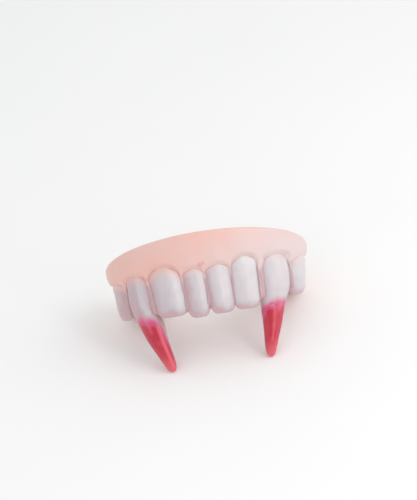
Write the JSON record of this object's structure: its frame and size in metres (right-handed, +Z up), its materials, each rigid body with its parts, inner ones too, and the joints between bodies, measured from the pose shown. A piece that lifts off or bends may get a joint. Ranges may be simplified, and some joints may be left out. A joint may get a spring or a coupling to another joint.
{
  "type": "vampire fang denture",
  "caption": "Soft vinyl upper denture with a pink gum arch, white teeth and two long fangs with glossy red tips, open above for the wearer's own teeth.",
  "frame": {"origin": "on the surface that the denture stands on, under the middle of its bounding box", "axes": "+X to the viewer's right across the arch, the teeth face -Y, +Z up"},
  "size_m": [0.0614, 0.0402, 0.0392],
  "materials": {
    "gum_vinyl": "satin",
    "tooth_vinyl": "satin",
    "fang_vinyl": "gloss"
  },
  "bodies": {
    "root": {"gum_base": "gum_vinyl", "central_left": "tooth_vinyl", "central_right": "tooth_vinyl", "lateral_left": "tooth_vinyl", "lateral_right": "tooth_vinyl", "premolar_left": "tooth_vinyl", "premolar_right": "tooth_vinyl", "fang_left": "fang_vinyl", "fang_right": "fang_vinyl"}
  },
  "joints": []
}
